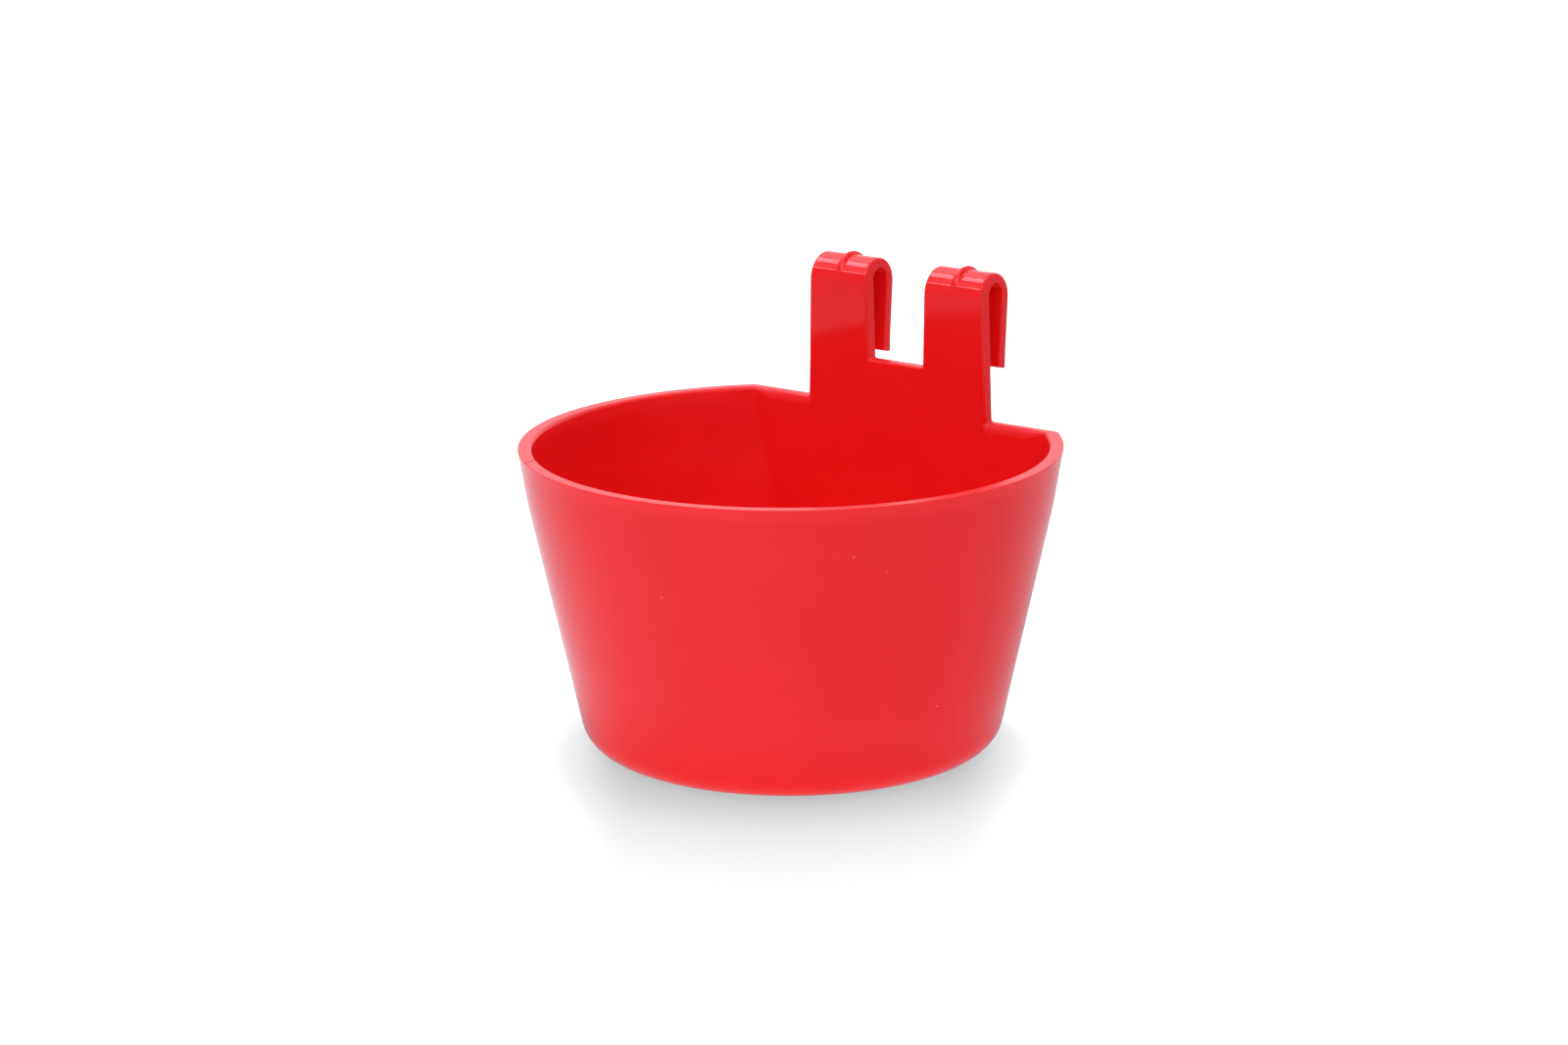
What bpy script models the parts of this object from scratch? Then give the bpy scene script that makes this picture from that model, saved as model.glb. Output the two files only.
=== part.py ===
"""Hook-on poultry feeder: a tapered cup with a flat back, a hanger plate and two hooks.

Metres, +Z up. The origin is on the cup's axis at the underside. The round front faces -Y. The flat
back, which carries the hanger plate and the hooks, faces +Y.
"""

import math

import bmesh
import bpy
from mathutils import Vector

# Cup: a round tapered wall cut off by a flat back
RIM_RADIUS = 0.0650  # outside of the round wall at the rim
CUP_HEIGHT = 0.0736
BAND_HEIGHT = 0.0130  # upper band of the round wall, which leans out less than the cone below it
BAND_DRAFT = math.radians(9.0)
CONE_DRAFT = math.radians(12.4)
ROUND_WALL = 0.0033  # measured level
FLOOR = 0.0030
BASE_ROUND = 0.0078  # outer edge between wall and underside
INNER_BASE_ROUND = 0.0052  # inner edge between wall and floor
BACK_DISTANCE = 0.0463  # from the axis to the outer back face at the rim
BACK_WALL = 0.0030
BACK_DRAFT = math.radians(1.3)
CORNER_ROUND = 0.0020  # upright corners between flat back and round wall, outside
INNER_CORNER_ROUND = 0.0014
RIM_EDGE_ROUND = 0.0004

# Hanger plate: carries the back wall on above the rim
PLATE_HEIGHT = 0.0115  # from the rim to the bottom of the notch between the hooks
PLATE_HALF_WIDTH = 0.0266  # at the rim
SIDE_DRAFT = math.radians(1.9)  # the plate and the hooks narrow upwards
FRONT_LEAN = math.radians(1.2)  # the front face leans over the cup, so the strip thickens upwards
EDGE_ROUND = 0.0006

# Hooks: inverted U strips
HOOK_TOP = 0.0360  # crest above the rim
HOOK_BEND_RADIUS = 0.0060  # outside of the bend
HOOK_CROWN = 0.0025  # thickness at the crest
HOOK_LEG = 0.0028  # thickness of the back leg
LEG_LEAN = math.radians(7.0)  # the back leg closes towards the plate
LEG_END = 0.0122  # end of the back leg above the rim
NOTCH_HALF_WIDTH = 0.0077  # half the gap between the hooks, carried down to the rim
BEAD_RADIUS = 0.0009  # half-round bead over each bend

SEAM = 0.0003  # gap where two sub-parts meet

# Red polypropylene
RED = (0.74, 0.012, 0.016, 1.0)
ROUGHNESS = 0.22

# Fineness of the curves
FRONT_STEPS = 72
CORNER_STEPS = 4
CONE_STEPS = 8
BAND_STEPS = 2
ROUND_STEPS = 5
RIM_STEPS = 2
EDGE_STEPS = 2
BEND_STEPS = 18
GAP_STEPS = 12
BEAD_SIDES = 12
SLIVER_OF_FLAT = 0.0010  # least half width of the flat, where the cone draws in past the back face


def clear_scene():
    for old in list(bpy.data.objects):
        bpy.data.objects.remove(old, do_unlink=True)


def fractions(steps):
    """Evenly spaced values from 0 to 1."""
    return [i / steps for i in range(steps + 1)]


def turns(start, end, steps):
    """Evenly spaced angles from start to end, both included."""
    return [start + (end - start) * f for f in fractions(steps)]


def red_plastic(name):
    material = bpy.data.materials.new(name)
    material.use_nodes = True
    shader = material.node_tree.nodes["Principled BSDF"]
    shader.inputs["Base Color"].default_value = RED
    shader.inputs["Roughness"].default_value = ROUGHNESS
    shader.inputs["Metallic"].default_value = 0.0
    return material


def loft(name, rings, origin):
    """A closed solid through rings of equally many points, capped at its first and last ring."""
    shape = bmesh.new()
    loops = [[shape.verts.new(Vector(point) - origin) for point in ring] for ring in rings]
    for near, far in zip(loops, loops[1:]):
        for i in range(len(near)):
            shape.faces.new((near[i - 1], near[i], far[i], far[i - 1]))
    shape.faces.new(loops[0])
    shape.faces.new(loops[-1])
    bmesh.ops.recalc_face_normals(shape, faces=shape.faces)
    mesh = bpy.data.meshes.new(name)
    shape.to_mesh(mesh)
    shape.free()
    mesh.shade_smooth()
    mesh.set_sharp_from_angle(angle=math.radians(32))
    mesh.materials.append(red_plastic(name + "_red"))
    solid = bpy.data.objects.new(name, mesh)
    solid.location = origin
    bpy.context.scene.collection.objects.link(solid)
    return solid


def drafted_wall(height, foot, draft, edge_round):
    """Distance out of a wall that leans out from its foot, at a height above the floor it stands on.

    Below the tangent height the wall curves in to meet the floor through edge_round.
    """
    if height >= edge_round * (1 - math.sin(draft)):
        return foot + height * math.tan(draft)
    centre = foot - edge_round * (1 - math.sin(draft)) / math.cos(draft)
    return centre + math.sqrt(edge_round**2 - (edge_round - height) ** 2)


BAND_FOOT = CUP_HEIGHT - BAND_HEIGHT
BAND_FOOT_RADIUS = RIM_RADIUS - BAND_HEIGHT * math.tan(BAND_DRAFT)
CONE_FOOT_RADIUS = BAND_FOOT_RADIUS - BAND_FOOT * math.tan(CONE_DRAFT)
BACK_FOOT = BACK_DISTANCE - CUP_HEIGHT * math.tan(BACK_DRAFT)


def outer_radius(z):
    if z > BAND_FOOT:
        return BAND_FOOT_RADIUS + (z - BAND_FOOT) * math.tan(BAND_DRAFT)
    return drafted_wall(z, CONE_FOOT_RADIUS, CONE_DRAFT, BASE_ROUND)


def inner_radius(z):
    if z > BAND_FOOT:
        return outer_radius(z) - ROUND_WALL
    foot = CONE_FOOT_RADIUS + FLOOR * math.tan(CONE_DRAFT) - ROUND_WALL
    return drafted_wall(z - FLOOR, foot, CONE_DRAFT, INNER_BASE_ROUND)


def outer_back(z):
    return drafted_wall(z, BACK_FOOT, BACK_DRAFT, BASE_ROUND)


def inner_back(z):
    foot = BACK_FOOT + FLOOR * math.tan(BACK_DRAFT) - BACK_WALL
    return drafted_wall(z - FLOOR, foot, BACK_DRAFT, INNER_BASE_ROUND)


def d_ring(z, radius, back, corner):
    """A level D: a circle cut off by the back line, with both corners rounded.

    Each corner's centre lies a corner radius inside both the circle and the line.
    """
    reach = radius - corner
    widest = math.sqrt(reach**2 - SLIVER_OF_FLAT**2)
    centre_y = min(back - corner, widest)
    centre_x = math.sqrt(reach**2 - centre_y**2)
    meeting = math.atan2(centre_y, centre_x)
    right = [
        (centre_x + corner * math.cos(a), centre_y + corner * math.sin(a), z)
        for a in turns(meeting, math.pi / 2, CORNER_STEPS)
    ]
    left = [(-x, y, z) for x, y, z in reversed(right)]
    front = [
        (radius * math.cos(a), radius * math.sin(a), z)
        for a in turns(math.pi - meeting, 2 * math.pi + meeting, FRONT_STEPS)
    ]
    return right + left + front[1:-1]


def cup():
    """The skin of the cup, from the underside up the outside, over the rim and down to the floor."""
    straight_top = CUP_HEIGHT - RIM_EDGE_ROUND

    def wall_heights(floor, edge_round):
        rounded = [floor + edge_round * (1 - math.cos(a)) for a in turns(0, math.pi / 2, ROUND_STEPS)]
        cone = [rounded[-1] + (BAND_FOOT - rounded[-1]) * f for f in fractions(CONE_STEPS)]
        band = [BAND_FOOT + (straight_top - BAND_FOOT) * f for f in fractions(BAND_STEPS)]
        return rounded + cone[1:] + band[1:]

    outside = [
        d_ring(z, outer_radius(z), outer_back(z), CORNER_ROUND)
        for z in wall_heights(0.0, BASE_ROUND)
    ]
    inside = [
        d_ring(z, inner_radius(z), inner_back(z), INNER_CORNER_ROUND)
        for z in wall_heights(FLOOR, INNER_BASE_ROUND)
    ]
    outer_edge = []
    inner_edge = []
    for a in turns(0, math.pi / 2, RIM_STEPS)[1:]:
        z = straight_top + RIM_EDGE_ROUND * math.sin(a)
        draw_in = RIM_EDGE_ROUND * (1 - math.cos(a))
        outer_edge.append(d_ring(z, outer_radius(z) - draw_in, outer_back(z) - draw_in, CORNER_ROUND))
        inner_edge.append(d_ring(z, inner_radius(z) + draw_in, inner_back(z) + draw_in, INNER_CORNER_ROUND))
    rings = outside + outer_edge + inner_edge[::-1] + inside[::-1]
    return loft("cup", rings, Vector((0, 0, 0)))


def plate_front(z):
    """The front face runs on from the inner back face at the rim."""
    return BACK_DISTANCE - BACK_WALL - (z - CUP_HEIGHT) * math.tan(FRONT_LEAN)


def outer_side(z):
    return PLATE_HALF_WIDTH - (z - CUP_HEIGHT) * math.tan(SIDE_DRAFT)


def inner_side(z):
    return NOTCH_HALF_WIDTH + (z - CUP_HEIGHT) * math.tan(SIDE_DRAFT)


def hanger_plate():
    """An upright strip of rounded rectangle section between the rim and the hooks."""

    def section(z):
        half = outer_side(z) - EDGE_ROUND
        near = plate_front(z) + EDGE_ROUND
        far = BACK_DISTANCE - EDGE_ROUND
        corners = ((half, far, 0), (-half, far, 1), (-half, near, 2), (half, near, 3))
        return [
            (x + EDGE_ROUND * math.cos(a), y + EDGE_ROUND * math.sin(a), z)
            for x, y, quarter in corners
            for a in turns(quarter * math.pi / 2, (quarter + 1) * math.pi / 2, EDGE_STEPS)
        ]

    foot = CUP_HEIGHT + SEAM
    top = CUP_HEIGHT + PLATE_HEIGHT
    return loft("hanger_plate", [section(foot), section(top)], Vector((0, BACK_DISTANCE, foot)))


BEND_Z = CUP_HEIGHT + HOOK_TOP - HOOK_BEND_RADIUS
BEND_Y = plate_front(CUP_HEIGHT) + (
    HOOK_BEND_RADIUS - (BEND_Z - CUP_HEIGHT) * math.sin(FRONT_LEAN)
) / math.cos(FRONT_LEAN)
# The gap's round end touches the plate's back face, the back leg and the underside of the crown
GAP_RADIUS = (
    HOOK_BEND_RADIUS
    - HOOK_LEG
    + (BEND_Y - BACK_DISTANCE) * math.cos(LEG_LEAN)
    + (HOOK_BEND_RADIUS - HOOK_CROWN) * math.sin(LEG_LEAN)
) / (1 + math.cos(LEG_LEAN) + math.sin(LEG_LEAN))
GAP_Y = BACK_DISTANCE + GAP_RADIUS
GAP_Z = CUP_HEIGHT + HOOK_TOP - HOOK_CROWN - GAP_RADIUS


def hook_outline(inset):
    """(y, z) round a hook's side face, with every edge but the foot moved in by inset."""
    foot = CUP_HEIGHT + PLATE_HEIGHT + SEAM
    tip = CUP_HEIGHT + LEG_END + inset

    def leg_line(distance, z):
        """A point of the back leg's line at this distance from the bend's centre."""
        y = BEND_Y + (distance + (z - BEND_Z) * math.sin(LEG_LEAN)) / math.cos(LEG_LEAN)
        return (y, z)

    bend = [
        (
            BEND_Y + (HOOK_BEND_RADIUS - inset) * math.cos(a),
            BEND_Z + (HOOK_BEND_RADIUS - inset) * math.sin(a),
        )
        for a in turns(math.pi + FRONT_LEAN, -LEG_LEAN, BEND_STEPS)
    ]
    gap = [
        (GAP_Y + (GAP_RADIUS + inset) * math.cos(a), GAP_Z + (GAP_RADIUS + inset) * math.sin(a))
        for a in turns(-LEG_LEAN, math.pi, GAP_STEPS)
    ]
    front_foot = (plate_front(foot) + inset / math.cos(FRONT_LEAN), foot)
    outer_tip = leg_line(HOOK_BEND_RADIUS - inset, tip)
    inner_tip = leg_line(HOOK_BEND_RADIUS - HOOK_LEG + inset, tip)
    back_foot = (BACK_DISTANCE - inset, foot)
    return [front_foot] + bend + [outer_tip, inner_tip] + gap + [back_foot]


def bead(name, middle):
    """A round rib along the outside of the bend, half sunk in it, with ball ends."""

    def ring(angle, radius):
        y = BEND_Y + HOOK_BEND_RADIUS * math.cos(angle)
        z = BEND_Z + HOOK_BEND_RADIUS * math.sin(angle)
        return [
            (
                middle + radius * math.cos(a),
                y + radius * math.sin(a) * math.cos(angle),
                z + radius * math.sin(a) * math.sin(angle),
            )
            for a in turns(0, 2 * math.pi, BEAD_SIDES)[1:]
        ]

    start = math.pi + FRONT_LEAN
    end = -LEG_LEAN
    rings = [ring(a, BEAD_RADIUS) for a in turns(start, end, BEND_STEPS)]
    for share in (0.5, 0.9):
        beyond = share * BEAD_RADIUS / HOOK_BEND_RADIUS
        radius = BEAD_RADIUS * math.sqrt(1 - share**2)
        rings.insert(0, ring(start + beyond, radius))
        rings.append(ring(end - beyond, radius))
    rib = loft(name, rings, Vector((middle, BEND_Y, BEND_Z)))
    rib.hide_render = True
    rib.display_type = "WIRE"
    return rib


def hook(name, side):
    """One hook: its U outline carried across, between drafted side faces with rounded edges."""

    def across(edge, outwards, turn):
        inset = EDGE_ROUND * (1 - math.sin(turn))
        draw_in = EDGE_ROUND * (1 - math.cos(turn))
        return [(side * (edge(z) - outwards * draw_in), y, z) for y, z in hook_outline(inset)]

    quarter = turns(0, math.pi / 2, EDGE_STEPS)
    rings = [across(inner_side, -1, turn) for turn in quarter]
    rings += [across(outer_side, 1, turn) for turn in reversed(quarter)]
    crest = CUP_HEIGHT + HOOK_TOP
    middle = side * (inner_side(crest) + outer_side(crest)) / 2
    strip = loft(name, rings, Vector((middle, BACK_DISTANCE, CUP_HEIGHT + PLATE_HEIGHT + SEAM)))
    with_bead = strip.modifiers.new("bead over the bend", "BOOLEAN")
    with_bead.operation = "UNION"
    with_bead.solver = "EXACT"
    with_bead.object = bead(name + "_bead", middle)
    return strip


def build():
    clear_scene()
    feeder = bpy.data.objects.new("feeder", None)
    bpy.context.scene.collection.objects.link(feeder)
    for piece in (cup(), hanger_plate(), hook("left_hook", -1), hook("right_hook", 1)):
        piece.parent = feeder


build()
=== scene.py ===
import math

import bpy
import numpy as np
from mathutils import Matrix, Vector


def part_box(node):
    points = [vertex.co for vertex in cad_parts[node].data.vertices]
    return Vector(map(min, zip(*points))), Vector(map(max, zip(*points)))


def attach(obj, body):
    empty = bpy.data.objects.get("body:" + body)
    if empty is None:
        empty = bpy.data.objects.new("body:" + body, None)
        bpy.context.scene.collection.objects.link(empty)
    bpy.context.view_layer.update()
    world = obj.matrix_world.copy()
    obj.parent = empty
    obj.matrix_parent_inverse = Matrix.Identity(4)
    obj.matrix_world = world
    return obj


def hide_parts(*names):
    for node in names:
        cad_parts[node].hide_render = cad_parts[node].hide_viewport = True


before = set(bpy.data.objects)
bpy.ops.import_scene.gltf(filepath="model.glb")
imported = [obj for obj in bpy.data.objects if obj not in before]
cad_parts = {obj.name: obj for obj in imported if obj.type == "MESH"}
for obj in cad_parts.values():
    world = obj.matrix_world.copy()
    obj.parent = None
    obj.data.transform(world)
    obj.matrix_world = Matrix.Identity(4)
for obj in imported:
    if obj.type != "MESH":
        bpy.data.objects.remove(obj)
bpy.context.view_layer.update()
scene = bpy.context.scene
scene.view_settings.view_transform = "Standard"
print("frame loaded:", ", ".join(sorted(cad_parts)))

photoCamera = {
    "place": (0.56188, -0.75141, 0.29872),  # metres; front right of the cup and above it
    "heading": 36.893,  # degrees to the left of +Y
    "pitch": 14.619,  # degrees below level
    "roll": -0.426,
    "lens": 93.03,
    "sensor": 36.0,
}


def makeCamera(spec):  # turned to its heading, then down by its pitch, then rolled
    data = bpy.data.cameras.new("photoCamera")
    data.sensor_fit = "HORIZONTAL"
    data.sensor_width = spec["sensor"]
    data.lens = spec["lens"]
    camera = bpy.data.objects.new("photoCamera", data)
    turn = Matrix.Rotation(math.radians(spec["heading"]), 4, "Z")
    turn = turn @ Matrix.Rotation(math.radians(90 - spec["pitch"]), 4, "X")
    turn = turn @ Matrix.Rotation(math.radians(spec["roll"]), 4, "Z")
    camera.matrix_world = Matrix.Translation(spec["place"]) @ turn
    scene.collection.objects.link(camera)
    scene.camera = camera


makeCamera(photoCamera)
print("camera set")

# The feeder is one moulding, so one skin stands for the cup, the plate and both hooks.
# It is a bent sheet: an inner face, an outer face and an edge strip between them.
# Lengths are in metres, heights are above the underside.

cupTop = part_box("cup")[1]
cup = {
    "rimRadius": cupTop.x,
    "height": cupTop.z,
    "bandHeight": 0.0130,  # upper band, steeper than the cone below it
    "bandSlope": math.tan(math.radians(9.0)),
    "coneSlope": math.tan(math.radians(12.4)),
    "bandBlend": 0.00012,  # softens the crease under the band
    "wall": 0.0033,  # round wall, measured level
    "floor": 0.0030,
    "baseRound": 0.0078,
    "innerBaseRound": 0.0052,
    "backDistance": 0.0463,  # from the axis to the outer back face at the rim
    "backWall": 0.0030,
    "backSlope": math.tan(math.radians(1.3)),
    "backBlend": 0.00015,  # softens the crease between the flat back and the plate
    "backLimit": 0.9998,  # share of the round wall's reach that the flat back stays within
    "corner": 0.0020,  # upright, between the flat back and the round wall
    "innerCorner": 0.0014,
    "rimRound": 0.0002,  # outer edge of the rim
    "innerRimRound": 0.0009,
    "ledgeRound": 0.0030,  # front edge of the rim over the flat back
    "ledgeFade": 0.0050,  # over which the ledge's rounding narrows to the rim's
    "ledgeEnd": 0.0448,  # half length of the flat back at the rim
    # rings of the gate mark under the base, each with its radius and its depth
    "gateMark": ((0.0012, 0.00035), (0.0016, 0.0006), (0.0044, 0.0006), (0.0050, 0.0)),
}
strip = {
    "plateHeight": 0.0115,  # from the rim to the notch between the hooks
    "halfWidth": 0.0266,
    "notchHalf": 0.0077,
    "sideSlope": math.tan(math.radians(1.9)),
    "frontLean": math.radians(1.2),
    "crest": 0.0360,  # above the rim
    "bendRadius": 0.0060,
    "crown": 0.0025,  # thickness at the crest
    "leg": 0.0028,  # thickness of the back leg
    "legLean": math.radians(7.0),
    "tip": 0.0122,  # end of the back leg above the rim
    "tipSlant": 0.00037,  # lower at the back and higher at the gap than that, by this much
    "frontRound": 0.0006,
    "backRound": 0.00035,
    "tipRound": 0.00035,
    "tipCorner": 0.0006,
    "tipFade": 0.0040,  # over which the front rounding narrows towards the tip
    "footFillet": 0.0007,  # where the plate's sides meet the rim
    "notchFillet": 0.0005,
}
bead = {  # rib over each bend, which rises out of the parting line
    "radius": 0.00088,
    "foot": 0.0004,  # hollow fillet along it
    "rise": 0.0050,
}
witness = {  # parting line across each bend
    "travel": 0.00285,  # from the start of the bend
    "height": 0.00012,
    "halfWidth": 0.0003,
    "rows": (0.00012, 0.00024, 0.0004, 0.0006),  # distances of the grid's rows before and after it
}
fineness = {  # numbers of rows or columns in the grid, and lengths where that is said
    "front": 150,
    "corner": 7,
    "ledge": 12,
    "notch": 7,
    "fill": 5,  # between a hook's edge and its bead
    "fillet": 3,
    "beadCrown": 7,
    "beadFoot": 5,
    "floor": 7,
    "innermost": 0.25,  # the smallest floor ring, as a share of the floor's outline
    "base": 10,
    "cone": 14,
    "crease": (-0.0030, -0.0015, 0.0, 0.0015, 0.0030),  # heights of rows over the foot of the band
    "band": 4,
    "underRim": 0.0042,  # length from the rim down to the highest wall row
    "plate": 7,
    "hook": 11,
    "bendStep": 0.0003,  # length between the bend's rows
    "leg": 10,
    "edge": 6,
}

rim = cup["height"]
bandFoot = rim - cup["bandHeight"]
coneFoot = cup["rimRadius"] - cup["bandHeight"] * cup["bandSlope"] - bandFoot * cup["coneSlope"]
backFoot = cup["backDistance"] - rim * cup["backSlope"]
plateFace = cup["backDistance"] - cup["backWall"]
notchZ = rim + strip["plateHeight"]
tipZ = rim + strip["tip"]
bendZ = rim + strip["crest"] - strip["bendRadius"]
leanSin, leanCos = math.sin(strip["frontLean"]), math.cos(strip["frontLean"])
bendY = plateFace + (strip["bendRadius"] - (bendZ - rim) * leanSin) / leanCos
legSin, legCos = math.sin(strip["legLean"]), math.cos(strip["legLean"])
gapRadius = strip["bendRadius"] - strip["leg"] + (bendY - cup["backDistance"]) * legCos
gapRadius = (gapRadius + (strip["bendRadius"] - strip["crown"]) * legSin) / (1 + legCos + legSin)
bendLength = strip["bendRadius"] * (math.pi + strip["frontLean"] + strip["legLean"])
hookMiddle = (strip["halfWidth"] + strip["notchHalf"]) / 2


def smoothLower(a, b, width):  # half of the sum less the rounded distance: the lower curve, without a crease
    return 0.5 * (a + b - np.sqrt((a - b) ** 2 + width**2))


def eased(share):  # three squares less two cubes: from 0 to 1 along a smooth S, and level beyond
    share = np.clip(share, 0, 1)
    return share * share * (3 - 2 * share)


def leaningWall(height, foot, slope, edgeRound):  # a leaning line that an arc carries into a level floor
    angle = math.atan(slope)
    centre = foot - edgeRound * (1 - math.sin(angle)) / math.cos(angle)
    below = np.clip(edgeRound - height, 0, edgeRound)
    arc = centre + np.sqrt(edgeRound**2 - below**2)
    return np.where(height >= edgeRound * (1 - math.sin(angle)), foot + height * slope, arc)


def outerRadius(z):  # the narrower of the cone and the band
    cone = leaningWall(z, coneFoot, cup["coneSlope"], cup["baseRound"])
    return smoothLower(cone, cup["rimRadius"] - (rim - z) * cup["bandSlope"], cup["bandBlend"])


def innerRadius(z):  # the same, a wall's thickness further in and over the floor
    foot = coneFoot + cup["floor"] * cup["coneSlope"] - cup["wall"]
    cone = leaningWall(z - cup["floor"], foot, cup["coneSlope"], cup["innerBaseRound"])
    band = cup["rimRadius"] - cup["wall"] - (rim - z) * cup["bandSlope"]
    return smoothLower(cone, band, cup["bandBlend"])


def outerBack(z):  # a leaning line, upright over the rim and flush there with the back of the plate
    wall = leaningWall(z, backFoot, cup["backSlope"], cup["baseRound"])
    return smoothLower(wall, cup["backDistance"], cup["backBlend"])


def innerBack(z):  # the same, flush with the front of the plate, which leans over the cup
    foot = backFoot + cup["floor"] * cup["backSlope"] - cup["backWall"]
    wall = leaningWall(z - cup["floor"], foot, cup["backSlope"], cup["innerBaseRound"])
    return smoothLower(wall, plateFace - (z - rim) * leanSin / leanCos, cup["backBlend"])


def outerSide(z):  # half width of the strip, which narrows upwards
    return strip["halfWidth"] - (z - rim) * strip["sideSlope"]


def innerSide(z):  # half width of the notch, which opens upwards
    return strip["notchHalf"] + (z - rim) * strip["sideSlope"]


innerSkin = {
    "radius": innerRadius,
    "back": innerBack,
    "corner": cup["innerCorner"],
    "floor": cup["floor"],
    "baseRound": cup["innerBaseRound"],
    "rimRound": cup["innerRimRound"],
    "ledgeRound": cup["ledgeRound"],
    "sideRound": strip["frontRound"],
    "bendCentre": (bendY, bendZ),
    "bendRadius": strip["bendRadius"],
    "lean": strip["frontLean"],
    "legFace": strip["bendRadius"],
    "slant": -1,
    "relief": 1.0,  # this face carries the beads and the parting lines
    "gate": (),
}
outerSkin = {
    "radius": outerRadius,
    "back": outerBack,
    "corner": cup["corner"],
    "floor": 0.0,
    "baseRound": cup["baseRound"],
    "rimRound": cup["rimRound"],
    "ledgeRound": cup["rimRound"],
    "sideRound": strip["backRound"],
    "bendCentre": (cup["backDistance"] + gapRadius, rim + strip["crest"] - strip["crown"] - gapRadius),
    "bendRadius": gapRadius,
    "lean": 0.0,
    "legFace": strip["bendRadius"] - strip["leg"],
    "slant": 1,
    "relief": 0.0,
    "gate": cup["gateMark"],
}

# In what follows, a share of 1 draws a face back from the sheet's edges by their rounding,
# and a share of 0 carries it out to where they would be sharp.


def turnedCorner(centre, radius, start, end, inset):
    # points on an arc round a centre, each further out by its own inset
    angle = np.radians(np.linspace(start, end, len(inset)))
    reach = radius + inset
    return np.stack([centre[0] + reach * np.cos(angle), centre[1] + reach * np.sin(angle)], axis=-1)


def sheetCorners(skin, share):  # (across, along) points of the right half's rounded corners
    count = 2 * fineness["fillet"] + 1
    foot, notch, tip = strip["footFillet"], strip["notchFillet"], strip["tipCorner"]
    fromLedge = share * np.linspace(skin["ledgeRound"], skin["sideRound"], count)
    even = share * np.ones(count)
    footCentre = (strip["halfWidth"] + foot, rim + foot)
    notchCentre = (innerSide(notchZ) - notch, notchZ + notch)
    return {
        "foot": turnedCorner(footCentre, foot, -90, -180, fromLedge),
        "notch": turnedCorner(notchCentre, notch, -90, 0, even * skin["sideRound"]),
        "tip": turnedCorner((-tip, tip), tip, 0, -90, -even * strip["tipRound"]),  # from side face and end
    }


def beadProfile():
    # a half circle, carried out to the surface by a hollow fillet: its columns across, its height by distance
    radius, foot = bead["radius"], bead["foot"]
    reach = math.sqrt((radius + foot) ** 2 - foot**2)
    low = math.asin(foot / (radius + foot))
    crown = radius * np.cos(np.linspace(math.pi / 2, low, fineness["beadCrown"]))
    hollow = reach - foot * np.sin(np.linspace(math.pi / 2 - low, 0, fineness["beadFoot"]))[1:]
    half = np.concatenate([crown, hollow])

    def height(distance):
        top = np.sqrt(np.clip(radius**2 - distance**2, 0, None))
        fillet = foot - np.sqrt(np.clip(foot**2 - (reach - distance) ** 2, 0, None))
        return np.where(distance < crown[-1], top, np.where(distance < reach, fillet, 0.0))

    return np.concatenate([-half[:0:-1], half]), height


beadAcross, beadHeight = beadProfile()


def backColumns(skin, share):
    # right half from the middle outwards; across = a * inner side + b * outer side + c, one (a, b, c) each
    turns = sheetCorners(skin, share)
    mid = fineness["fillet"]
    notchX = turns["notch"][:mid, 0]
    footX = turns["foot"][:mid, 0][::-1]
    tipX = -turns["tip"][mid + 1 :, 0] - share * strip["tipRound"]
    flat = np.linspace(0, notchX[0], fineness["notch"])[:-1]
    ledge = np.linspace(footX[-1], cup["ledgeEnd"], fineness["ledge"])[1:]
    fill = np.linspace(0, 1, fineness["fill"] + 2)[1:-1, None]

    def family(a, b, offsets):
        offsets = np.atleast_1d(offsets)
        return np.stack([np.full(len(offsets), a), np.full(len(offsets), b), offsets], axis=-1)

    inside = family(1.0, 0.0, np.concatenate([[0.0], tipX]))
    middle = family(0.5, 0.5, beadAcross)
    outside = family(0.0, 1.0, np.concatenate([-tipX[::-1], [0.0]]))
    inFill = inside[-1] * (1 - fill) + middle[0] * fill
    outFill = middle[-1] * (1 - fill) + outside[0] * fill
    notch = family(0.0, 0.0, np.concatenate([flat, notchX]))
    hook = np.concatenate([inside, inFill, middle, outFill, outside])
    beyond = family(0.0, 0.0, np.concatenate([footX, ledge]))
    return np.concatenate([notch, hook, beyond]), len(notch), len(notch) + len(hook) - 1


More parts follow.
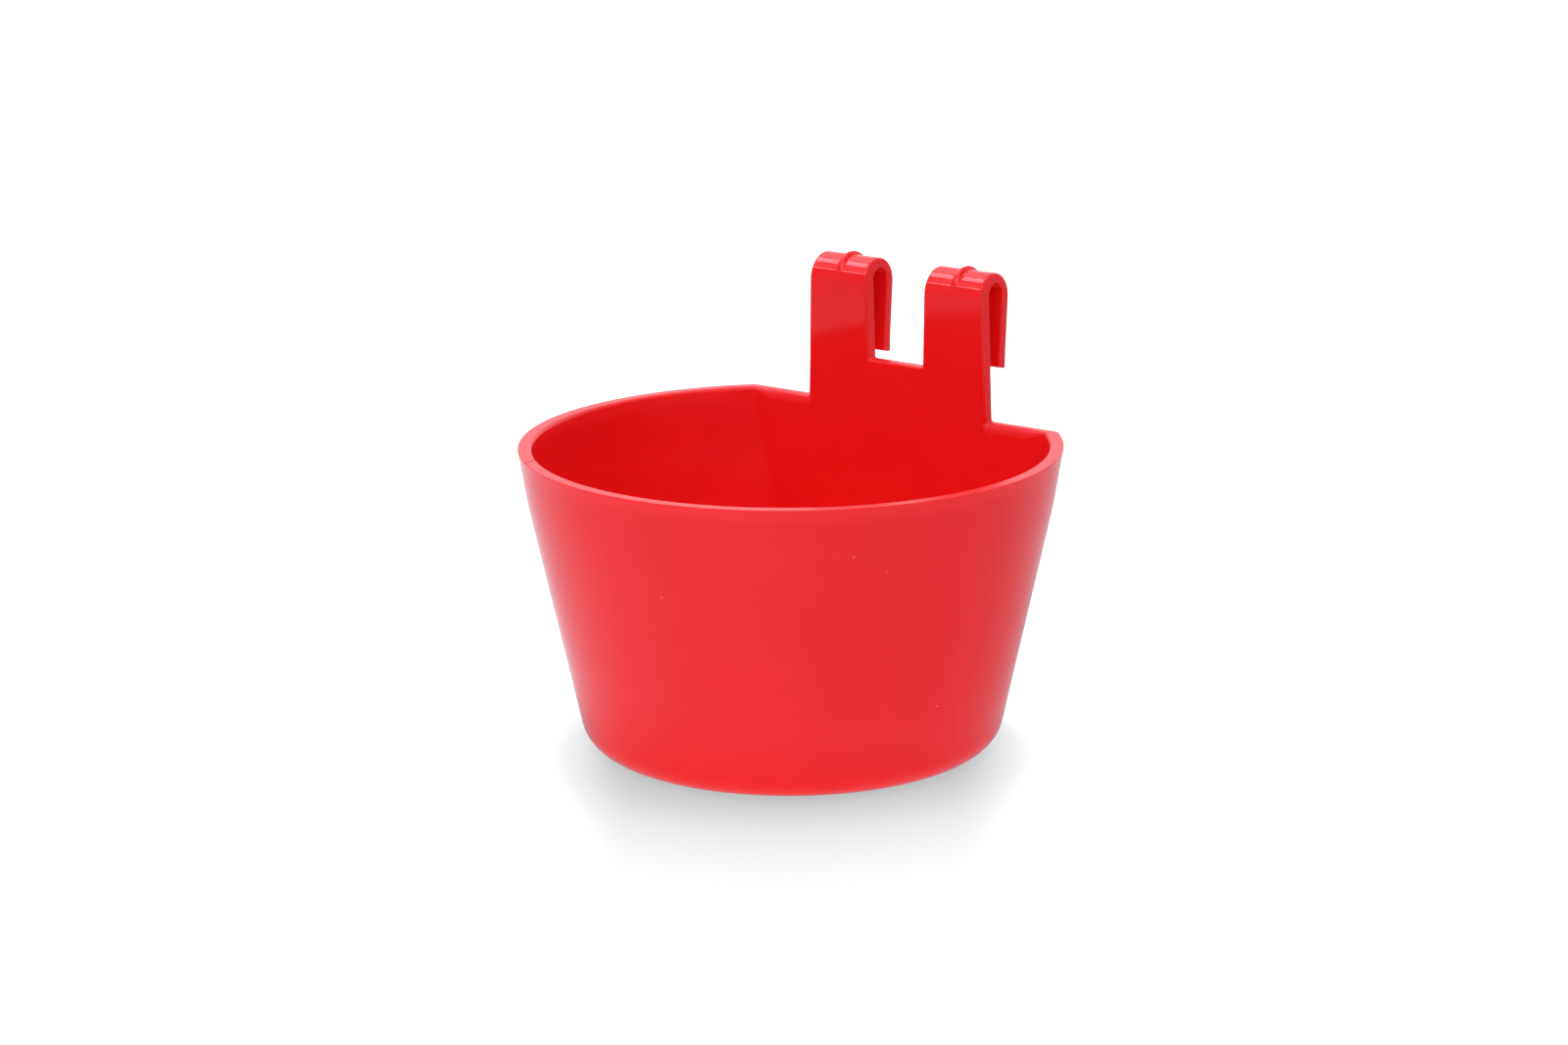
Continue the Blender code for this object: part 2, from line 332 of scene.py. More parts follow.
def stripRows(skin, share):
    # the strip's path, row by row: up the plate, over the bend and down the back leg;
    # each row's point and direction in (y, z), its travel past the start of the bend and the length left
    turns = sheetCorners(skin, share)
    mid = fineness["fillet"]
    foot, notch = turns["foot"][mid + 1 :, 1], turns["notch"][mid + 1 :, 1]
    notchLow = notchZ - share * skin["sideRound"]
    plate = np.linspace(foot[-1], notchLow, fineness["plate"])[1:-1]
    centre, radius = skin["bendCentre"], skin["bendRadius"]
    first, last = math.pi + skin["lean"], -strip["legLean"]
    start = centre[1] + radius * math.sin(first)
    straight = np.linspace(notch[-1], start, fineness["hook"])[1:-1]
    z = np.concatenate([[rim - share * skin["ledgeRound"]], foot, plate, [notchLow], notch, straight])
    rise = np.tile([-math.sin(skin["lean"]), math.cos(skin["lean"])], (len(z), 1))
    near = np.array(witness["rows"])
    fine = witness["travel"] + np.concatenate([-near[::-1], [0.0], near])
    before = np.arange(0, fine[0], fineness["bendStep"])
    steps = int((bendLength - fine[-1]) / fineness["bendStep"])
    travel = np.concatenate([before, fine, np.linspace(fine[-1], bendLength, steps)[1:]])
    angle = first + (last - first) * travel / bendLength
    bend = np.stack([centre[0] + radius * np.cos(angle), centre[1] + radius * np.sin(angle)], axis=-1)
    over = np.stack([np.sin(angle), -np.cos(angle)], axis=-1)
    end = tipZ + skin["slant"] * strip["tipSlant"]
    legFoot = bendY + (skin["legFace"] + (end - bendZ) * legSin) / legCos
    legLength = (bend[-1, 1] - end) / legCos
    down = np.linspace(legLength, turns["tip"][0, 1], fineness["leg"])[1:-1]
    left = np.concatenate([down, turns["tip"][:mid, 1], [share * strip["tipRound"]]])
    leg = np.stack([legFoot + left * legSin, end + left * legCos], axis=-1)
    fall = np.tile([-legSin, -legCos], (len(left), 1))
    path = np.concatenate([np.stack([skin["back"](z), z], axis=-1), bend, leg])
    along = np.concatenate([rise, over, fall])
    travel = np.concatenate([z - start, travel, bendLength + legLength - left])
    ahead = np.concatenate([np.full(len(z) + len(bend), legLength), left])
    return path, along, travel, ahead, 1 + len(foot) + len(plate)


def stripHalf(skin, share):
    # right half of the strip on its grid of rows and columns: path point, plus distance across, plus relief
    turns = sheetCorners(skin, share)
    mid = fineness["fillet"]
    columns, inner, outer = backColumns(skin, share)
    path, along, travel, ahead, notchRow = stripRows(skin, share)
    level = path[:, 1]
    fade = eased((ahead - strip["tipCorner"]) / strip["tipFade"])
    inset = share * (strip["tipRound"] + (skin["sideRound"] - strip["tipRound"]) * fade)
    across = columns[:, 0] * (innerSide(level) + inset)[:, None] + columns[:, 2]
    across = across + columns[:, 1] * (outerSide(level) - inset)[:, None]
    shift = np.zeros_like(across)  # along the path
    foot, notch, tip = turns["foot"], turns["notch"], turns["tip"]
    drawnIn = foot[mid:, 0] - across[: mid + 1, outer]
    across[: mid + 1, outer - mid : outer + 1] += drawnIn[:, None]
    shift[0, outer : outer + mid + 1] = foot[mid::-1, 1] - level[0]
    across[notchRow : notchRow + mid + 1, inner] = notch[mid:, 0]
    shift[notchRow, inner - mid : inner + 1] = notch[: mid + 1, 1] - level[notchRow]
    end = level[-mid - 1 :]
    across[-mid - 1 :, outer] = outerSide(end) + tip[: mid + 1, 0]
    across[-mid - 1 :, inner] = innerSide(end) - tip[: mid + 1, 0]
    across[-1, outer - mid : outer] = outerSide(end[-1]) + tip[:mid:-1, 0]
    across[-1, inner + 1 : inner + mid + 1] = innerSide(end[-1]) - tip[mid + 1 :, 0]
    lift = tip[mid:, 1] - share * strip["tipRound"]
    shift[-1, outer - mid : outer + 1] = -lift[::-1]
    shift[-1, inner : inner + mid + 1] = -lift
    rise = np.minimum(travel - witness["travel"], bendLength - travel) / bead["rise"]
    rise = np.sin(np.clip(rise, 0, 1) * math.pi / 2)[:, None]
    line = np.clip(1 - ((travel - witness["travel"]) / witness["halfWidth"]) ** 2, 0, None)[:, None] ** 2
    relief = np.maximum(beadHeight(np.abs(across - hookMiddle)) * rise, witness["height"] * line)
    relief = relief * skin["relief"]
    y = path[:, :1] + shift * along[:, :1] - relief * along[:, 1:]
    z = path[:, 1:] + shift * along[:, 1:] + relief * along[:, :1]
    y[0] = skin["back"](z[0])
    return np.stack([across, y, z], axis=-1), inner, outer, notchRow


def levelD(z, skin, backX):
    # a circle cut off by the back line, corners rounded: along the back, round the front, to the back again
    radius, back, corner = skin["radius"](z), skin["back"](z), skin["corner"]
    reach = radius - corner
    centreY = np.minimum(back - corner, cup["backLimit"] * reach)
    centreX = np.sqrt(reach**2 - centreY**2)
    rimReach = skin["radius"](np.array(rim)) - corner
    rimX = np.sqrt(rimReach**2 - (skin["back"](np.array(rim)) - corner) ** 2)
    span = strip["halfWidth"] + strip["footFillet"]
    inside = span * centreX / rimX
    away = np.abs(backX)
    beyond = inside + (away - span) * (centreX - inside) / (cup["ledgeEnd"] - span)
    x = np.sign(backX) * np.where(away <= span, away * centreX / rimX, beyond)
    meeting = np.arctan2(centreY, centreX)
    turn = math.pi / 2 + (meeting - math.pi / 2) * np.linspace(0, 1, fineness["corner"] + 2)[1:-1]
    cornerX, cornerY = centreX + corner * np.cos(turn), centreY + corner * np.sin(turn)
    sweep = meeting - np.linspace(0, 1, fineness["front"]) * (math.pi + 2 * meeting)
    ringX = np.concatenate([x, cornerX, radius * np.cos(sweep), -cornerX[:, ::-1]], axis=1)
    ringY = np.concatenate([back + 0 * x, cornerY, radius * np.sin(sweep), cornerY[:, ::-1]], axis=1)
    return np.stack([ringX, ringY, z + 0 * ringX], axis=-1)


def wallHeights(skin):  # even steps round the base edge, up the cone, over the crease and up the band
    rounded = np.linspace(0, math.pi / 2, fineness["base"])
    arc = skin["floor"] + skin["baseRound"] * (1 - np.cos(rounded))
    crease = bandFoot + np.array(fineness["crease"])
    cone = np.linspace(arc[-1], crease[0], fineness["cone"])[1:-1]
    band = np.linspace(crease[-1], rim - fineness["underRim"], fineness["band"])[1:]
    return np.concatenate([arc, cone, crease, band])


def sheetFace(skin, share):
    # one face of the sheet as a grid: floor rings, wall rings, the rim row and the strip's rows
    half, inner, outer, notchRow = stripHalf(skin, share)
    right = half[0, :, 0]
    backX = np.concatenate([-right[:0:-1], right])
    strips = np.concatenate([half[:, :0:-1] * (-1, 1, 1), half], axis=1)
    walls = levelD(wallHeights(skin)[:, None], skin, backX)
    ring = walls[0]
    rings = np.linspace(fineness["innermost"], 1, fineness["floor"])[:-1, None, None] * ring * (1, 1, 0)
    rings = rings + (0, 0, skin["floor"])
    outward = ring[:, :2] / np.linalg.norm(ring[:, :2], axis=1, keepdims=True)
    gates = [
        np.column_stack([outward * radius, np.full(len(ring), depth)])[None]
        for radius, depth in skin["gate"]
    ]
    count = walls.shape[1]
    rounding = np.full(count, skin["rimRound"])
    ease = eased((cup["ledgeEnd"] - np.abs(backX)) / cup["ledgeFade"])
    rounding[: len(backX)] += (skin["ledgeRound"] - skin["rimRound"]) * ease
    each = np.arange(count)
    rimRow = levelD((rim - share * rounding)[:, None], skin, backX)[each, each]
    near = slice(len(right) - 1 - outer - fineness["fillet"], len(right) + outer + fineness["fillet"])
    rimRow[near] = strips[0, near]
    upper = np.full((len(strips) - 1, count, 3), np.nan)
    upper[:, : len(backX)] = strips[1:]
    grid = np.concatenate(gates + [rings, walls, rimRow[None], upper])
    rimIndex = len(grid) - len(strips)
    marks = {
        "rim": rimIndex,
        "notch": rimIndex + notchRow,
        "middle": len(right) - 1,
        "inner": inner,
        "outer": outer,
    }
    return grid, marks


def gridCells(grid, marks, offset):
    # the part of the grid that is used: its vertex numbers, counted from the offset, and its quads
    rows, count = grid.shape[:2]
    column = np.arange(count)
    away = np.abs(column - marks["middle"])
    onStrip = away <= marks["outer"]
    onHook = onStrip & (away >= marks["inner"])
    row = np.arange(rows)[:, None]
    used = (row <= marks["rim"]) | ((row <= marks["notch"]) & onStrip) | onHook
    number = np.full((rows, count), -1)
    number[used] = np.arange(used.sum()) + offset
    after = np.roll(column, -1)
    hookCell = onHook & onHook[after] & ~((away == marks["inner"]) & (away[after] == marks["inner"]))
    cells = (row < marks["rim"]) | ((row < marks["notch"]) & (onStrip & onStrip[after])) | hookCell
    cells = cells[:-1]
    quads = np.stack([number[:-1], number[:-1][:, after], number[1:][:, after], number[1:]], axis=-1)[cells]
    return number, used, quads


def boundaryLoop(rows, count, marks):
    # (row, column) round the sheet's free edge, from the middle of the notch
    middle, top, rimRow, notch = marks["middle"], rows - 1, marks["rim"], marks["notch"]
    inner, outer = marks["inner"], marks["outer"]

    def run(rowsRun, columnsRun):
        return np.stack(np.broadcast_arrays(rowsRun, columnsRun), axis=-1)

    right = [
        run(notch, np.arange(middle, middle + inner)),
        run(np.arange(notch, top), middle + inner),
        run(top, np.arange(middle + inner, middle + outer)),
        run(np.arange(top, rimRow, -1), middle + outer),
        run(rimRow, np.arange(middle + outer, count)),
    ]
    left = [
        run(rimRow, np.arange(0, middle - outer)),
        run(np.arange(rimRow, top), middle - outer),
        run(top, np.arange(middle - outer, middle - inner)),
        run(np.arange(top, notch, -1), middle - inner),
        run(notch, np.arange(middle - inner, middle)),
    ]
    return np.concatenate(right + left)


def sheetSide(skin, offset):  # a face's points and quads, and its free edge both drawn back and sharp
    grid, marks = sheetFace(skin, 1.0)
    numbers, used, quads = gridCells(grid, marks, offset)
    loop = tuple(boundaryLoop(*grid.shape[:2], marks).T)
    return {
        "points": grid[used],
        "quads": quads,
        "ring": numbers[0],  # the innermost, round the pole
        "loop": numbers[loop],
        "start": grid[loop],
        "sharp": sheetFace(skin, 0.0)[0][loop],
    }


edgeShare = 0.45  # of the sheet's thickness, the most that the rounding of one edge takes


def edgeBands(inner, outer):  # rows from one free edge to the other, by a parabola round each sharp edge
    through = outer["sharp"] - inner["sharp"]
    thickness = np.linalg.norm(through, axis=1, keepdims=True)
    through = through / thickness
    turn = np.linspace(0, 1, fineness["edge"] + 1)[1:, None, None]

    def rounded(side, inwards):
        back = side["start"] - side["sharp"]
        radius = np.minimum(np.linalg.norm(back, axis=1, keepdims=True), edgeShare * thickness)
        return side["sharp"] + back * (1 - turn) ** 2 + inwards * radius * turn**2

    return np.concatenate([rounded(inner, through), rounded(outer, -through)[::-1]])


def makeFeeder():  # both faces, the edge strip between them and a pole in the middle of each floor
    inner = sheetSide(innerSkin, 0)
    outer = sheetSide(outerSkin, len(inner["points"]))
    bands = edgeBands(inner, outer)
    first = len(inner["points"]) + len(outer["points"])
    numbers = first + np.arange(bands[..., 0].size).reshape(bands.shape[:2])
    pole = first + numbers.size
    poles = np.array([(0, 0, innerSkin["floor"]), (0, 0, cup["gateMark"][0][1])])
    vertices = np.concatenate([inner["points"], outer["points"], bands.reshape(-1, 3), poles])
    ladder = np.concatenate([inner["loop"][None], numbers, outer["loop"][None]])
    after = np.roll(ladder, -1, axis=1)
    edgeQuads = np.stack([ladder[:-1], ladder[1:], after[1:], after[:-1]], axis=-1).reshape(-1, 4)
    quads = np.concatenate([inner["quads"], outer["quads"][:, ::-1], edgeQuads[:, ::-1]])
    ringIn, ringOut = inner["ring"], outer["ring"]
    capIn = np.stack([np.roll(ringIn, -1), ringIn, np.full_like(ringIn, pole)], axis=-1)
    capOut = np.stack([ringOut, np.roll(ringOut, -1), np.full_like(ringOut, pole + 1)], axis=-1)
    mesh = bpy.data.meshes.new("feeder")
    mesh.from_pydata(vertices.tolist(), [], quads.tolist() + capIn.tolist() + capOut.tolist())
    mesh.shade_smooth()
    onEdge = np.zeros(len(vertices), np.float32)
    onEdge[first:pole] = 1
    mesh.attributes.new("sheetEdge", "FLOAT", "POINT").data.foreach_set("value", onEdge)
    feeder = bpy.data.objects.new("feeder", mesh)
    scene.collection.objects.link(feeder)
    even = feeder.modifiers.new("even shading", "WEIGHTED_NORMAL")
    even.mode = "FACE_AREA"
    return feeder


feeder = makeFeeder()
print("feeder skin:", len(feeder.data.polygons), "faces")

redPlastic = {
    "red": (0.925, 0.0145, 0.0165, 1.0),
    "deepRed": (0.895, 0.0125, 0.0145, 1.0),  # faint pigment clouds
    "cloudScale": 45.0,  # per metre, as the other scales
    "cloudDetail": 3.0,
    "cloudEdge": (0.35, 0.65),  # of the noise, over which a cloud sets in
    "roughness": 0.09,
    "edgeRoughness": 0.20,  # added on the rim and the strips' edges, which the mould left duller
    "grainScale": 1400.0,
    "grainDetail": 2.0,
    "grainEdge": (0.3, 0.7),
    "grain": 0.02,  # added roughness
    "ior": 1.44,
    "mirrorTint": (0.82, 0.82, 1.0, 1.0),
    "soak": 0.5,  # share of the light that goes in and comes out again close by
    "soakReach": 0.004,
    "soakTint": (1.0, 0.1, 0.1),
    "peelScale": 120.0,  # slow ripple of a moulded surface
    "peelDetail": 1.0,
    "peelDepth": 0.000004,
    "speckScale": 250.0,
    "speckRadius": 0.00032,
    "speckCore": 0.6,  # share of the radius with the full colour
    "speckShare": 0.07,
    "speck": (0.92, 0.14, 0.15, 1.0),
    "speckRoughness": 0.3,
    "weldAcross": (0.9966, 0.0820, 0.0),  # the line on the rim where the melt met lies across this
    "weldAt": -0.04274,
    "weldHalf": 0.00024,
    "weldCore": 0.4,
    # painted shade: the weld line's dark colour stands for the shade in its groove
    "shadedWeld": (0.42, 0.008, 0.010, 1.0),
    "weldRoughness": 0.5,
    "paintedRimLight": (1.0, 0.024, 0.026, 1.0),  # painted light: a brighter red just under the free rim, standing in for light from above that comes through the thin rim
    "paintedRimLightReach": 0.0048,
    "paintedRimLightEnd": (0.036, 0.042),  # towards the flat back, over which that ends
    "thrownBack": (0.02, 0.02, 0.02, 1.0),  # what the outer wall sends to the floor, so its shadow stays grey
}


def addNode(tree, kind, inputs, **settings):  # a socket among the inputs is linked, a value is set
    node = tree.nodes.new(kind)
    for name, value in settings.items():
        setattr(node, name, value)
    for name, value in inputs.items():
        if isinstance(value, bpy.types.NodeSocket):
            tree.links.new(value, node.inputs[name])
        else:
            node.inputs[name].default_value = value
    return node


def addMath(tree, operation, first, second):
    return addNode(tree, "ShaderNodeMath", {0: first, 1: second}, operation=operation).outputs[0]


def addDot(tree, first, second):
    inputs = {0: first, 1: second}
    return addNode(tree, "ShaderNodeVectorMath", inputs, operation="DOT_PRODUCT").outputs["Value"]


def addRange(tree, value, low, high, bottom, top):  # from bottom to top as the value goes from low to high
    inputs = {"Value": value, "From Min": low, "From Max": high, "To Min": bottom, "To Max": top}
    return addNode(tree, "ShaderNodeMapRange", inputs, interpolation_type="SMOOTHSTEP").outputs["Result"]


def addMix(tree, factor, first, second):
    return addNode(tree, "ShaderNodeMix", {0: factor, 6: first, 7: second}, data_type="RGBA").outputs[2]


def addNoise(tree, spot, scale, detail):
    inputs = {"Vector": spot, "Scale": scale, "Detail": detail}
    return addNode(tree, "ShaderNodeTexNoise", inputs).outputs["Fac"]


def makeRedPlastic(spec):
    material = bpy.data.materials.new("redPlastic")
    material.use_nodes = True
    tree = material.node_tree
    shader = tree.nodes["Principled BSDF"]
    place = addNode(tree, "ShaderNodeTexCoord", {})
    spot = place.outputs["Object"]
    apart = addNode(tree, "ShaderNodeSeparateXYZ", {"Vector": spot})
    level = apart.outputs["Z"]
    cloud = addNoise(tree, spot, spec["cloudScale"], spec["cloudDetail"])
    cloudy = addRange(tree, cloud, *spec["cloudEdge"], 0.0, 1.0)
    colour = addMix(tree, cloudy, spec["red"], spec["deepRed"])
    # specks lie where a cell point of a 3-D scatter comes close to the surface, in a share of the cells
    scatter = addNode(tree, "ShaderNodeTexVoronoi", {"Vector": spot, "Scale": spec["speckScale"]})
    size = spec["speckRadius"] * spec["speckScale"]
    dot = addRange(tree, scatter.outputs["Distance"], spec["speckCore"] * size, size, 1.0, 0.0)
    pick = addNode(tree, "ShaderNodeSeparateColor", {"Color": scatter.outputs["Color"]}).outputs[0]
    speck = addMath(tree, "MULTIPLY", dot, addMath(tree, "LESS_THAN", pick, spec["speckShare"]))
    colour = addMix(tree, speck, colour, spec["speck"])
    # painted light: a brighter hem under the free rim, for light from above that comes out through the thin
    # wall
    under = addRange(tree, level, rim - spec["paintedRimLightReach"], rim, 0.0, 1.0)
    free = addRange(tree, apart.outputs["Y"], *spec["paintedRimLightEnd"], 1.0, 0.0)
    colour = addMix(tree, addMath(tree, "MULTIPLY", under, free), colour, spec["paintedRimLight"])
    # the weld line lies where an upright plane cuts the rim's top, on the front half; its dark colour is
    # painted shade of its shallow groove
    off = addMath(tree, "SUBTRACT", addDot(tree, spot, spec["weldAcross"]), spec["weldAt"])
    off = addMath(tree, "ABSOLUTE", off, 0.0)
    shadedWeld = addRange(tree, off, spec["weldCore"] * spec["weldHalf"], spec["weldHalf"], 1.0, 0.0)
    shadedWeld = addMath(tree, "MULTIPLY", shadedWeld, addMath(tree, "LESS_THAN", apart.outputs["Y"], 0.0))
    onTop = addMath(tree, "COMPARE", level, rim)
    onTop.node.inputs[2].default_value = spec["weldHalf"]
    shadedWeld = addMath(tree, "MULTIPLY", shadedWeld, onTop)
    colour = addMix(tree, shadedWeld, colour, spec["shadedWeld"])
    # light that leaves the outer wall for the floor is dimmed and grey; seen by the eye or a mirror it is red
    flat = addNode(tree, "ShaderNodeVectorMath", {0: spot, 1: (1, 1, 0)}, operation="MULTIPLY").outputs[0]
    outward = addMath(tree, "GREATER_THAN", addDot(tree, place.outputs["Normal"], flat), 0.0)
    outward = addMath(tree, "MULTIPLY", outward, addMath(tree, "LESS_THAN", level, rim))
    ray = addNode(tree, "ShaderNodeLightPath", {})
    thrown = addMath(tree, "MULTIPLY", outward, ray.outputs["Is Diffuse Ray"])
    colour = addMix(tree, thrown, colour, spec["thrownBack"])
    tree.links.new(colour, shader.inputs["Base Color"])
    grain = addNoise(tree, spot, spec["grainScale"], spec["grainDetail"])
    low = spec["roughness"]
    rough = addRange(tree, grain, *spec["grainEdge"], low, low + spec["grain"])
    edge = addNode(tree, "ShaderNodeAttribute", {}, attribute_name="sheetEdge").outputs["Fac"]
    for mask, name in ((edge, "edgeRoughness"), (speck, "speckRoughness"), (shadedWeld, "weldRoughness")):
        rough = addMath(tree, "ADD", rough, addMath(tree, "MULTIPLY", mask, spec[name]))
    tree.links.new(rough, shader.inputs["Roughness"])
    shader.inputs["IOR"].default_value = spec["ior"]
    shader.inputs["Specular Tint"].default_value = spec["mirrorTint"]
    shader.inputs["Subsurface Weight"].default_value = spec["soak"]
    shader.inputs["Subsurface Radius"].default_value = spec["soakTint"]
    shader.inputs["Subsurface Scale"].default_value = spec["soakReach"]
    peel = addNoise(tree, spot, spec["peelScale"], spec["peelDetail"])
    ripple = {"Height": peel, "Distance": spec["peelDepth"], "Strength": 1.0}
    tree.links.new(addNode(tree, "ShaderNodeBump", ripple).outputs[0], shader.inputs["Normal"])
    return material


feeder.data.materials.append(makeRedPlastic(redPlastic))
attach(feeder, "root")
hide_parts("cup", "hanger_plate", "left_hook", "right_hook")
print("red plastic on")

paperFloor = {
    "half": 6.0,
    "paper": (0.38, 0.38, 0.38, 1.0),
    "paintedGlow": (0.50, 0.59),  # painted light from the paper: less under the feeder, as a painted shadow, and more away from it
    "glowReach": (0.040, 0.080),
    "across": (0.8, 0.6, 0.0),  # over the floor, from the photo's left to its right
    "paintedLightBesides": (0.036, 0.070),  # along that, over which painted light gets stronger, left and right, so the shadow stays narrow there
    "paintedSideLight": 0.45,
    "farReach": (0.16, 0.40),  # and all round
    "gloss": 0.88,  # what the feeder's gloss shows of the paper
    "glossTint": (0.98, 0.98, 1.06, 1.0),
    "duller": ((-0.10, 0.10), 0.42),  # along the same line, over which it gets duller, and by how much
    "dullerFar": ((0.09, 0.20), 0.68),  # distance over which that lessens, and to what share
    "further": ((0.28, 0.45), 0.55),  # duller with distance
    "closer": ((0.085, 0.050), 0.55),  # duller in the feeder's shadow
    "farRight": ((0.18, 0.34), 0.74),  # duller far out to the right
    "fill": (1.34, 1.12),  # light from below on the feeder, from close by and from further away
    "fillReach": (0.06, 0.20),
    "fillLeft": ((-0.02, -0.12), 0.29),  # where that is less, and by how much
    "fillRight": ((0.02, 0.12), 0.38),
}


def makeFloor(spec):
    half = spec["half"]
    mesh = bpy.data.meshes.new("floor")
    corners = [(-half, -half, 0), (half, -half, 0), (half, half, 0), (-half, half, 0)]
    mesh.from_pydata(corners, [], [(0, 1, 2, 3)])
    floor = bpy.data.objects.new("floor", mesh)
    scene.collection.objects.link(floor)
    paper = bpy.data.materials.new("whitePaper")
    paper.use_nodes = True
    tree = paper.node_tree
    shader = tree.nodes["Principled BSDF"]
    shader.inputs["Base Color"].default_value = spec["paper"]
    shader.inputs["Roughness"].default_value = 1.0
    shader.inputs["Specular IOR Level"].default_value = 0.0
    shader.inputs["Emission Color"].default_value = (1, 1, 1, 1)
    spot = addNode(tree, "ShaderNodeTexCoord", {}).outputs["Object"]
    away = addNode(tree, "ShaderNodeVectorMath", {0: spot}, operation="LENGTH").outputs["Value"]
    along = addDot(tree, spot, spec["across"])
    # the eye sees the paper with the feeder's shadow, partly cast by the lamp and partly painted by the glow
    aside = addMath(tree, "ABSOLUTE", along, 0.0)
    paintedLight = addRange(tree, aside, *spec["paintedLightBesides"], 0.0, spec["paintedSideLight"])
    paintedLight = addMath(tree, "MAXIMUM", paintedLight, addRange(tree, away, *spec["farReach"], 0.0, spec["paintedSideLight"]))
    paintedGlow = addMath(tree, "ADD", addRange(tree, away, *spec["glowReach"], *spec["paintedGlow"]), paintedLight)
    tree.links.new(paintedGlow, shader.inputs["Emission Strength"])
    # in the feeder's gloss it is duller to the right, further away and close by
    dull = addRange(tree, along, *spec["duller"][0], 0.0, spec["duller"][1])
    lessened = addRange(tree, away, *spec["dullerFar"][0], 1.0, spec["dullerFar"][1])
    dull = addMath(tree, "MULTIPLY", dull, lessened)
    for place, (reach, most) in ((away, spec["further"]), (away, spec["closer"]), (along, spec["farRight"])):
        dull = addMath(tree, "MAXIMUM", dull, addRange(tree, place, *reach, 0.0, most))
    gloss = addMath(tree, "MULTIPLY", addMath(tree, "SUBTRACT", 1.0, dull), spec["gloss"])
    mirrored = addNode(tree, "ShaderNodeEmission", {"Color": spec["glossTint"], "Strength": gloss}).outputs[0]
    # and the feeder gets an even light from it
    fill = addRange(tree, away, *spec["fillReach"], *spec["fill"])
    for reach, most in (spec["fillLeft"], spec["fillRight"]):
        fill = addMath(tree, "SUBTRACT", fill, addRange(tree, along, *reach, 0.0, most))
    even = addNode(tree, "ShaderNodeEmission", {"Strength": fill}).outputs[0]
    ray = addNode(tree, "ShaderNodeLightPath", {})
    mix = {0: ray.outputs["Is Glossy Ray"], 1: shader.outputs[0], 2: mirrored}
    mix = {0: ray.outputs["Is Diffuse Ray"], 1: addNode(tree, "ShaderNodeMixShader", mix).outputs[0], 2: even}
    mix = addNode(tree, "ShaderNodeMixShader", mix)
    tree.links.new(mix.outputs[0], tree.nodes["Material Output"].inputs["Surface"])
    mesh.materials.append(paper)
    return floor


floor = makeFloor(paperFloor)
print("floor laid")

studioLamps = {
    "lamps": {  # place, width and height of the face, radiance, what it lights
        "key": ((-0.15, -1.05, 1.06), (1.00, 0.80), 1.5, "feeder"),
        "left": ((-0.885, -0.60, 1.09), (0.60, 0.40), 0.8, "feeder"),
        "top": ((0.0, 0.0, 1.40), (1.00, 1.00), 0.90, "feeder"),
        "strip": ((-0.885, -0.035, 1.305), (0.50, 0.32), 5.4, "feeder"),
        "crest": ((-0.871, 0.483, 1.24), (0.60, 0.50), 1.0, "feeder"),
        "side": ((0.75, -0.62, 1.05), (0.80, 0.60), 1.95, "feeder"),
        "over": ((-0.15, 0.20, 1.45), (0.35, 1.20), 12.0, "floor"),
    },
    "aim": (0.0, 0.0, 0.05),
    "turned": 36.9,  # degrees; the floor's lamp hangs level, with its long side along the photo's view
}


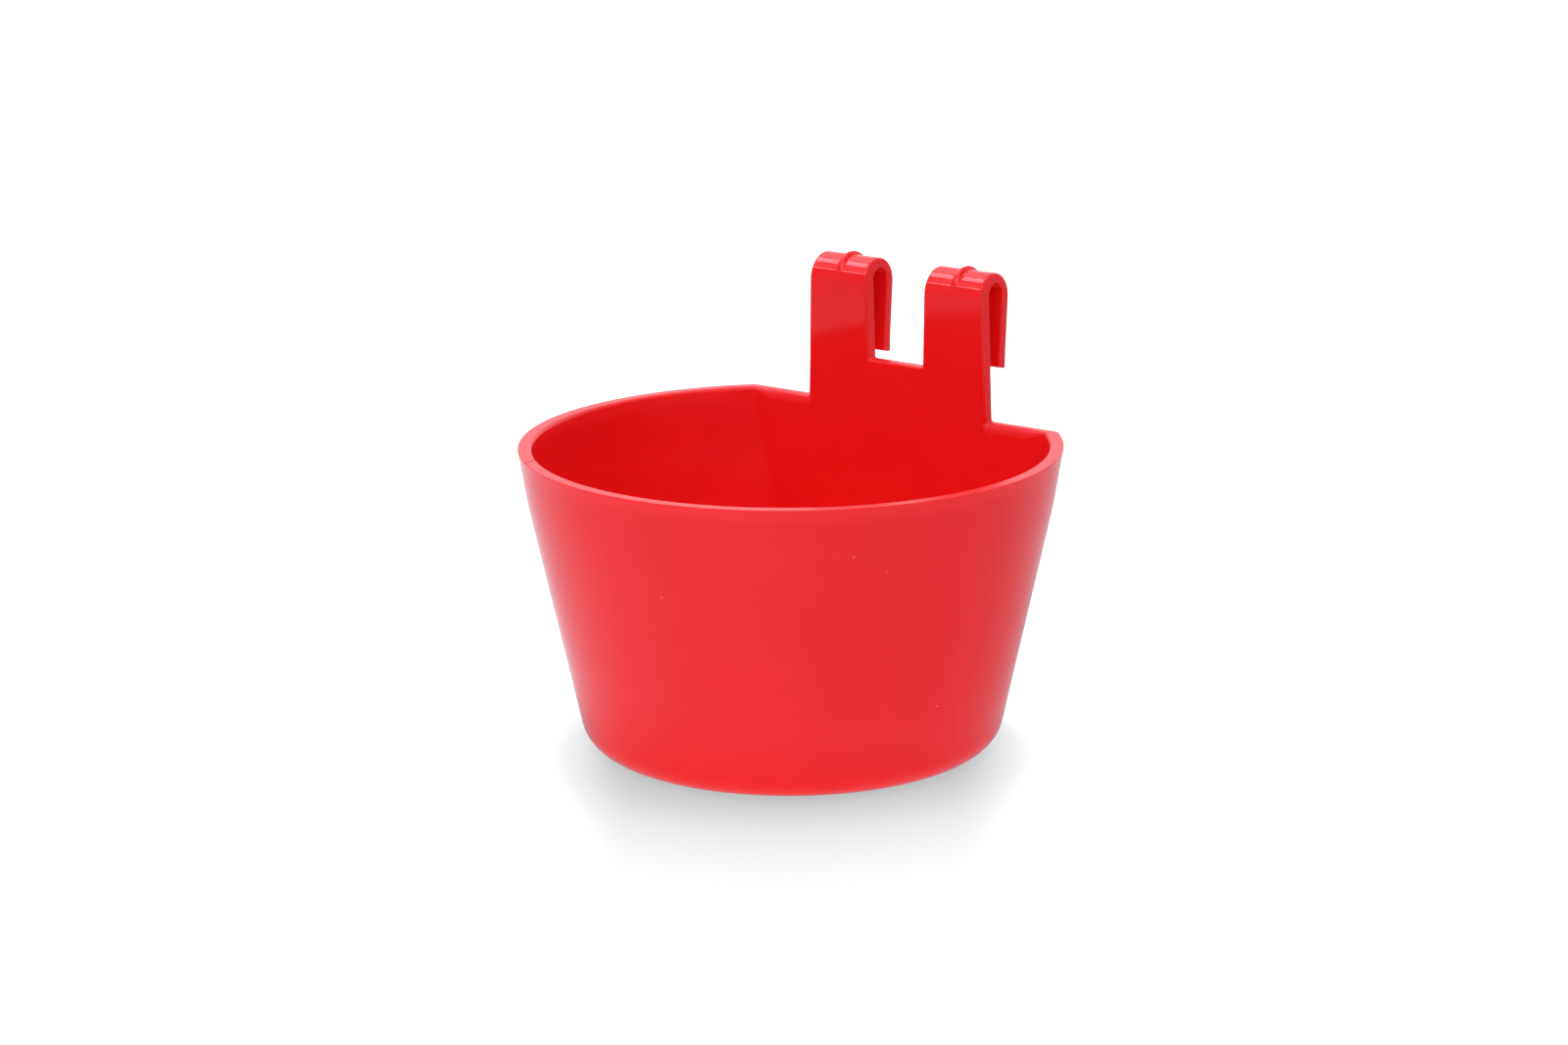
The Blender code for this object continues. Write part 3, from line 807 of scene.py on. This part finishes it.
def makeLamps(spec, pieces):  # each lamp lights one piece; its power is radiance times pi times its face
    groups = {}
    for name, piece in pieces.items():
        groups[name] = bpy.data.collections.new(name + "Lit")
        groups[name].objects.link(piece)
    for name, (place, size, radiance, lit) in spec["lamps"].items():
        lamp = bpy.data.lights.new(name, "AREA")
        lamp.shape = "RECTANGLE"
        lamp.size, lamp.size_y = size
        lamp.energy = radiance * math.pi * size[0] * size[1]
        holder = bpy.data.objects.new(name, lamp)
        holder.location = place
        aim = Vector(spec["aim"]) - Vector(place)
        holder.rotation_euler = aim.to_track_quat("-Z", "Y").to_euler()
        if lit == "floor":
            holder.rotation_euler = (0, 0, math.radians(spec["turned"]))
        scene.collection.objects.link(holder)
        holder.light_linking.receiver_collection = groups[lit]


makeLamps(studioLamps, {"feeder": feeder, "floor": floor})
print("lamps hung:", ", ".join(studioLamps["lamps"]))

whiteTent = {
    "tent": (0.73, 0.73, 0.79, 1.0),
    "backdrop": (0.98, 0.98, 1.04, 1.0),  # the brightest part of the tent, low behind the feeder
    "backdropSide": (-0.60, 0.78, 0.18),
    "backdropEdge": (0.70, 0.95),  # cosines of the angle from there, over which it sets in
    "dim": (0.09, 0.09, 0.10, 1.0),  # the tent's open side, on the right
    "dimSide": (0.95, -0.22, 0.15),
    "dimEdge": (0.40, 0.85),
    "dimFill": 0.70,  # how much of that shows in the light on the feeder, apart from its gloss
    "dimLeft": ((-0.95, -0.30, 0.05), 0.66),  # a less dim part on the left
}


def makeTent(spec):  # an even tent, dimmed towards two sides and brighter towards a third
    world = bpy.data.worlds.new("whiteTent")
    world.use_nodes = True
    sky = world.node_tree
    way = addNode(sky, "ShaderNodeTexCoord", {}).outputs["Object"]
    ray = addNode(sky, "ShaderNodeLightPath", {}).outputs["Is Diffuse Ray"]
    share = addMath(sky, "SUBTRACT", 1.0, addMath(sky, "MULTIPLY", ray, 1.0 - spec["dimFill"]))
    right = addRange(sky, addDot(sky, way, spec["dimSide"]), *spec["dimEdge"], 0.0, 1.0)
    leftSide, leftMost = spec["dimLeft"]
    left = addRange(sky, addDot(sky, way, leftSide), *spec["dimEdge"], 0.0, leftMost)
    dimmed = addMath(sky, "MAXIMUM", addMath(sky, "MULTIPLY", right, share), left)
    behind = addRange(sky, addDot(sky, way, spec["backdropSide"]), *spec["backdropEdge"], 0.0, 1.0)
    tent = addMix(sky, behind, addMix(sky, dimmed, spec["tent"], spec["dim"]), spec["backdrop"])
    sky.links.new(tent, sky.nodes["Background"].inputs["Color"])
    scene.world = world


makeTent(whiteTent)
print("studio lit")
